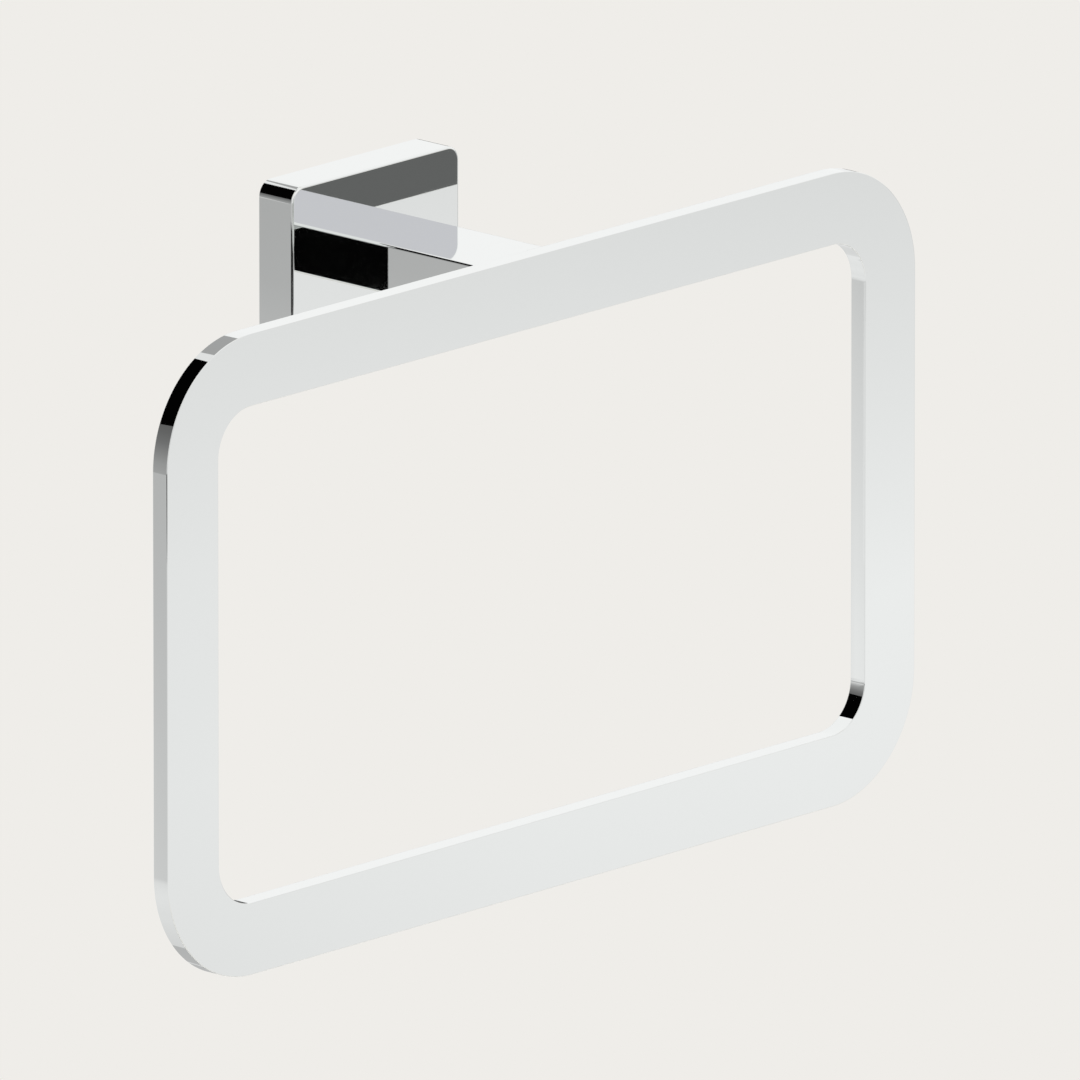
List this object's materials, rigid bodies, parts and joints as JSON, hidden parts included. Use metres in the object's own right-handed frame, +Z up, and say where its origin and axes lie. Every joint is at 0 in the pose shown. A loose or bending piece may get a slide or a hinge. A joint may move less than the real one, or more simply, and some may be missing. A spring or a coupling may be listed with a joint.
{
  "type": "towel ring",
  "caption": "Wall-mounted towel ring: a flat rounded-rectangle ring held off the wall by a flat bar arm on a small hollow wall cover with concealed fixing.",
  "frame": {"origin": "on the wall plane, at the middle of the wall bracket's back, behind the middle of the arm", "axes": "+X runs along the wall to the right as seen from the room, +Y points into the wall, +Z points up"},
  "size_m": [0.225, 0.0563, 0.1449],
  "materials": {
    "polished_chrome": "mirror polished",
    "bracket_steel": "rolled stainless sheet, stamped and bent",
    "zinc_plated_steel": "bright zinc plate",
    "set_screw_steel": "plain stainless",
    "pin_steel": "ground"
  },
  "bodies": {
    "root": {"ring": "polished_chrome", "arm": "polished_chrome", "wall_cover": "polished_chrome", "wall_bracket": "bracket_steel", "grub_screw": "set_screw_steel", "arm_screw_left": "zinc_plated_steel", "arm_screw_right": "zinc_plated_steel", "lock_washer_left": "zinc_plated_steel", "lock_washer_right": "zinc_plated_steel", "locating_pin_left": "pin_steel", "locating_pin_right": "pin_steel"}
  },
  "joints": []
}
